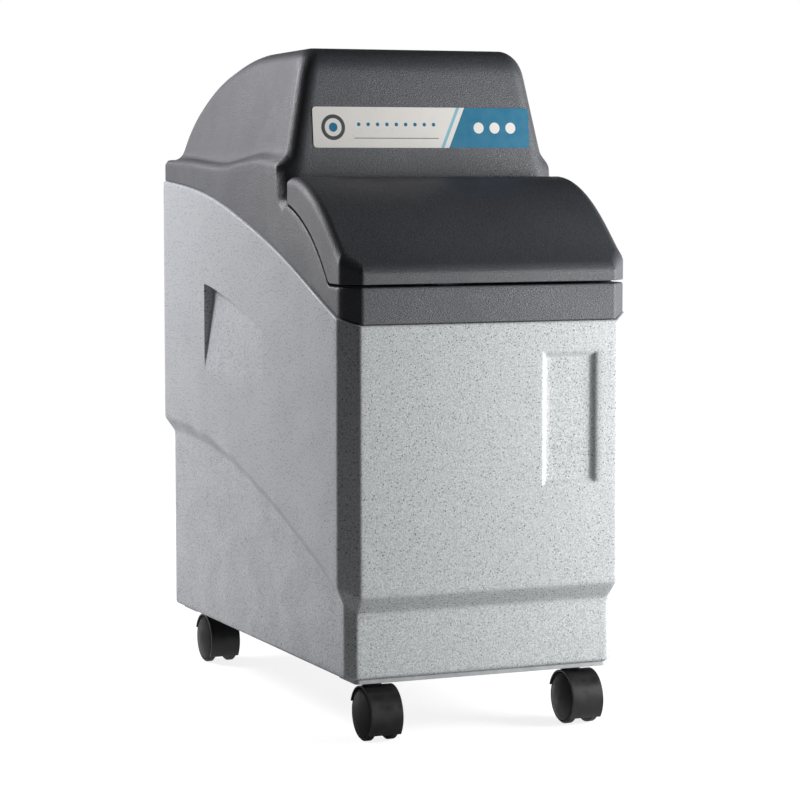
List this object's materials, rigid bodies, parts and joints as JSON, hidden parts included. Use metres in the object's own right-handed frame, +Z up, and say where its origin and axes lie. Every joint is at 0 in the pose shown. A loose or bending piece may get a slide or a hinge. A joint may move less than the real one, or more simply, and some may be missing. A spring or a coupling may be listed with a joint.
{
  "type": "water softener",
  "caption": "Compact cabinet water softener on twin-wheel casters, with a sloping hinged salt lid, a lift-off hood over the control valve, and a brine well inside.",
  "frame": {"origin": "centre of the bounding box on the floor, under the casters", "axes": "+Z up, front faces -Y, +X to the right seen from the front"},
  "size_m": [0.3, 0.562, 0.6549],
  "materials": {
    "cabinet_plastic": "rotomoulded, fine speckle",
    "cover_plastic": "leather grain",
    "label_film": "printed film",
    "steel": "zinc plated",
    "bar_paint": "satin grey",
    "tank_wrap": "wound fibre under resin",
    "black_plastic": "moulded",
    "white_plastic": "moulded",
    "resin_beads": "fine beads",
    "valve_plastic": "glass filled, satin",
    "seal_rubber": "matte",
    "piston_plastic": "smooth",
    "gear_plastic": "natural acetal",
    "motor_can": "plated",
    "window_clear": "clear",
    "board_green": "solder mask",
    "button_rubber": "satin",
    "handle_plastic": "moulded",
    "line_plastic": "extruded",
    "caster_black": "satin moulded",
    "caster_wheel": "satin moulded"
  },
  "bodies": {
    "base": {"cabinet": "cabinet_plastic", "front_caster_bar": "bar_paint", "rear_caster_bar": "bar_paint", "bar_screws": "steel", "caster_stems": "steel", "resin_tank": "tank_wrap", "tank_base": "black_plastic", "riser_tube": "white_plastic", "lower_distributor": "white_plastic", "upper_distributor": "white_plastic", "resin_bed": "resin_beads", "valve_body": "valve_plastic", "tank_o_ring": "seal_rubber", "seal_stack": "seal_rubber", "gear_bracket": "valve_plastic", "drive_motor": "motor_can", "control_cover": "black_plastic", "display_window": "window_clear", "control_board": "board_green", "power_inlet": "black_plastic", "bypass_body": "valve_plastic", "turbine_pin": "steel", "drain_fitting": "white_plastic", "injector_block": "valve_plastic", "brine_well": "white_plastic", "brine_pickup": "white_plastic", "brine_line": "line_plastic", "overflow_fitting": "white_plastic"},
    "cover": {"top_cover": "cover_plastic", "front_label": "label_film", "lid_hinge_pins": "steel"},
    "lid": {"salt_lid": "cover_plastic"},
    "piston": {"piston": "piston_plastic"},
    "drive_gear": {"drive_gear": "gear_plastic"},
    "pinion": {"motor_pinion": "gear_plastic"},
    "turbine": {"flow_turbine": "white_plastic"},
    "inlet_handle": {"bypass_inlet_handle": "handle_plastic"},
    "outlet_handle": {"bypass_outlet_handle": "handle_plastic"},
    "down_button": {"down_button": "button_rubber"},
    "set_button": {"set_button": "button_rubber"},
    "up_button": {"up_button": "button_rubber"},
    "float": {"brine_float": "white_plastic"},
    "well_cap": {"brine_well_cap": "white_plastic"},
    "front_left_caster": {"front_left_caster_hood": "caster_black", "front_left_caster_axle": "steel"},
    "front_left_left_wheel": {"front_left_caster_left_wheel": "caster_wheel"},
    "front_left_right_wheel": {"front_left_caster_right_wheel": "caster_wheel"},
    "front_right_caster": {"front_right_caster_hood": "caster_black", "front_right_caster_axle": "steel"},
    "front_right_left_wheel": {"front_right_caster_left_wheel": "caster_wheel"},
    "front_right_right_wheel": {"front_right_caster_right_wheel": "caster_wheel"},
    "rear_left_caster": {"rear_left_caster_hood": "caster_black", "rear_left_caster_axle": "steel"},
    "rear_left_left_wheel": {"rear_left_caster_left_wheel": "caster_wheel"},
    "rear_left_right_wheel": {"rear_left_caster_right_wheel": "caster_wheel"},
    "rear_right_caster": {"rear_right_caster_hood": "caster_black", "rear_right_caster_axle": "steel"},
    "rear_right_left_wheel": {"rear_right_caster_left_wheel": "caster_wheel"},
    "rear_right_right_wheel": {"rear_right_caster_right_wheel": "caster_wheel"}
  },
  "joints": [
    {"name": "cover_lift", "type": "slide", "parent": "base", "child": "cover", "axis": [0, 0, 1], "range_m": [0, 0.3]},
    {"name": "lid_hinge", "type": "hinge", "parent": "cover", "child": "lid", "pos_m": [0, -0.1365, 0.512], "axis": [-1, 0, 0], "range_deg": [0, 100]},
    {"name": "drive_gear_turn", "type": "hinge", "parent": "base", "child": "drive_gear", "pos_m": [0, 0.08, 0.56], "axis": [0, 1, 0], "range_deg": [0, 719]},
    {"name": "pinion_turn", "type": "hinge", "parent": "base", "child": "pinion", "pos_m": [0.03005, 0.08, 0.59005], "axis": [0, 1, 0], "range_deg": [-3360, 0]},
    {"name": "piston_slide", "type": "slide", "parent": "base", "child": "piston", "axis": [0, -1, 0], "range_m": [0, 0.024]},
    {"name": "turbine_spin", "type": "hinge", "parent": "base", "child": "turbine", "pos_m": [-0.032, 0.1637, 0.545], "axis": [0, 1, 0], "continuous": true},
    {"name": "inlet_handle_turn", "type": "hinge", "parent": "base", "child": "inlet_handle", "pos_m": [0.032, 0.2035, 0.545], "axis": [0, 0, 1], "range_deg": [0, 90]},
    {"name": "outlet_handle_turn", "type": "hinge", "parent": "base", "child": "outlet_handle", "pos_m": [-0.032, 0.2035, 0.545], "axis": [0, 0, 1], "range_deg": [0, 90]},
    {"name": "float_rise", "type": "slide", "parent": "base", "child": "float", "axis": [0, 0, 1], "range_m": [0, 0.04]},
    {"name": "well_cap_lift", "type": "slide", "parent": "base", "child": "well_cap", "axis": [0, 0, 1], "range_m": [0, 0.06]},
    {"name": "down_button_press", "type": "slide", "parent": "base", "child": "down_button", "axis": [0, 1, 0], "range_m": [0, 0.0015], "stiffness_N_per_m": 300},
    {"name": "set_button_press", "type": "slide", "parent": "base", "child": "set_button", "axis": [0, 1, 0], "range_m": [0, 0.0015], "stiffness_N_per_m": 300},
    {"name": "up_button_press", "type": "slide", "parent": "base", "child": "up_button", "axis": [0, 1, 0], "range_m": [0, 0.0015], "stiffness_N_per_m": 300},
    {"name": "front_left_swivel", "type": "hinge", "parent": "base", "child": "front_left_caster", "pos_m": [-0.105, -0.236, 0.045], "axis": [0, 0, 1], "continuous": true},
    {"name": "front_left_left_wheel_spin", "type": "hinge", "parent": "front_left_caster", "child": "front_left_left_wheel", "pos_m": [-0.105, -0.252, 0.025], "axis": [1, 0, 0], "continuous": true},
    {"name": "front_left_right_wheel_spin", "type": "hinge", "parent": "front_left_caster", "child": "front_left_right_wheel", "pos_m": [-0.105, -0.252, 0.025], "axis": [1, 0, 0], "continuous": true},
    {"name": "front_right_swivel", "type": "hinge", "parent": "base", "child": "front_right_caster", "pos_m": [0.105, -0.236, 0.045], "axis": [0, 0, 1], "continuous": true},
    {"name": "front_right_left_wheel_spin", "type": "hinge", "parent": "front_right_caster", "child": "front_right_left_wheel", "pos_m": [0.105, -0.252, 0.025], "axis": [1, 0, 0], "continuous": true},
    {"name": "front_right_right_wheel_spin", "type": "hinge", "parent": "front_right_caster", "child": "front_right_right_wheel", "pos_m": [0.105, -0.252, 0.025], "axis": [1, 0, 0], "continuous": true},
    {"name": "rear_left_swivel", "type": "hinge", "parent": "base", "child": "rear_left_caster", "pos_m": [-0.105, 0.216, 0.045], "axis": [0, 0, 1], "continuous": true},
    {"name": "rear_left_left_wheel_spin", "type": "hinge", "parent": "rear_left_caster", "child": "rear_left_left_wheel", "pos_m": [-0.105, 0.2, 0.025], "axis": [1, 0, 0], "continuous": true},
    {"name": "rear_left_right_wheel_spin", "type": "hinge", "parent": "rear_left_caster", "child": "rear_left_right_wheel", "pos_m": [-0.105, 0.2, 0.025], "axis": [1, 0, 0], "continuous": true},
    {"name": "rear_right_swivel", "type": "hinge", "parent": "base", "child": "rear_right_caster", "pos_m": [0.105, 0.216, 0.045], "axis": [0, 0, 1], "continuous": true},
    {"name": "rear_right_left_wheel_spin", "type": "hinge", "parent": "rear_right_caster", "child": "rear_right_left_wheel", "pos_m": [0.105, 0.2, 0.025], "axis": [1, 0, 0], "continuous": true},
    {"name": "rear_right_right_wheel_spin", "type": "hinge", "parent": "rear_right_caster", "child": "rear_right_right_wheel", "pos_m": [0.105, 0.2, 0.025], "axis": [1, 0, 0], "continuous": true}
  ],
  "couplings": [
    {"joint": "pinion_turn", "follows": "drive_gear_turn", "ratio": -4.6667},
    {"joint": "piston_slide", "follows": "drive_gear_turn", "m_per_rad": 0.0019099}
  ]
}
